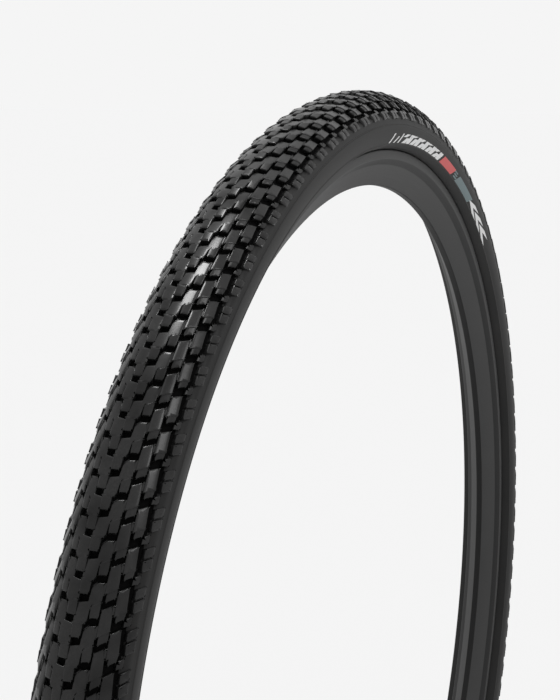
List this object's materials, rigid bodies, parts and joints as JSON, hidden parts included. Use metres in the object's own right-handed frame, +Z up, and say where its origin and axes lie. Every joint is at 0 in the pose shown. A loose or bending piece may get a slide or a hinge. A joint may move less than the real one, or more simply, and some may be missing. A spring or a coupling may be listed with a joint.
{
  "type": "bicycle tire",
  "caption": "Inflated trekking bicycle tire seated on a plain spokeless hoop, with rows of raised tread blocks on a round section.",
  "frame": {"origin": "centre of the wheel, on its spin axis, midway between the two sidewalls", "axes": "+Y along the spin axis towards the left side, +Z up, +X forward; the printed transfers are on the right side, at -Y"},
  "size_m": [0.7022, 0.0421, 0.7022],
  "materials": {
    "tread_rubber": "matte black rubber with a slight sheen on the block tops",
    "sidewall_rubber": "smooth black rubber",
    "belt_rubber": "soft blue rubber",
    "casing_cloth": "rubberised woven ply",
    "chafer_cloth": "fine black cloth",
    "bead_wire": "bronzed steel wire",
    "hoop_metal": "satin grey",
    "transfer_white": "printed white",
    "transfer_red": "printed red",
    "transfer_grey": "printed grey"
  },
  "bodies": {
    "root": {"tread_cap": "tread_rubber", "centre_blocks_left": "tread_rubber", "centre_blocks_right": "tread_rubber", "inner_blocks_left": "tread_rubber", "inner_blocks_right": "tread_rubber", "rib_blocks_left": "tread_rubber", "rib_blocks_right": "tread_rubber", "edge_blocks_left": "tread_rubber", "edge_blocks_right": "tread_rubber", "shoulder_blocks_left": "tread_rubber", "shoulder_blocks_right": "tread_rubber", "puncture_belt": "belt_rubber", "casing_ply": "casing_cloth", "sidewall_left": "sidewall_rubber", "sidewall_right": "sidewall_rubber", "rim_strip_left": "chafer_cloth", "rim_strip_right": "chafer_cloth", "bead_core_left": "bead_wire", "bead_core_right": "bead_wire", "hoop": "hoop_metal", "transfer_wordmark": "transfer_white", "transfer_emblem": "transfer_white", "transfer_accent": "transfer_red", "transfer_panel": "transfer_grey"}
  },
  "joints": []
}
